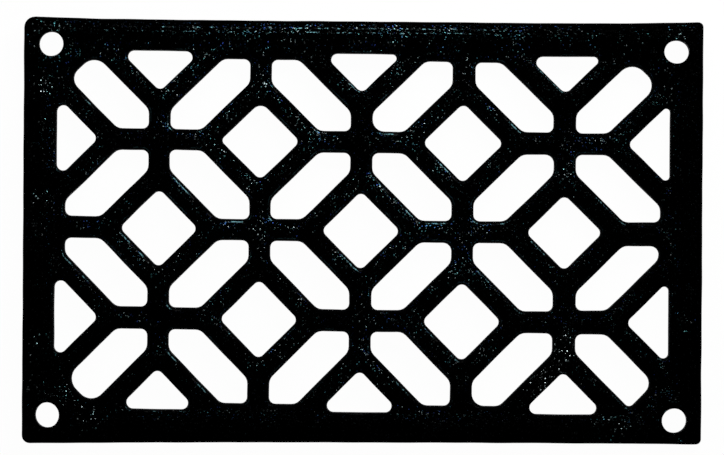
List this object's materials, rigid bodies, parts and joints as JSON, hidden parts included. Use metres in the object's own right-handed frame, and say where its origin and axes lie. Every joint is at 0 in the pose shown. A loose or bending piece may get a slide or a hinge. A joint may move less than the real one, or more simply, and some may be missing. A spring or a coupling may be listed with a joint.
{
  "type": "vent grille",
  "caption": "Flat rectangular cast iron vent grille: a raised border round a lattice of diamonds and slanted slots, with a plain screw hole in each corner.",
  "frame": {"origin": "middle of the flat back face, which sits on the wall", "axes": "+X along the length, +Y along the width towards the top of the picture, +Z out of the face"},
  "size_m": [0.24, 0.149, 0.006],
  "materials": {
    "grille": "sand cast iron under thin black satin paint"
  },
  "bodies": {
    "root": {"grille": "grille"}
  },
  "joints": []
}
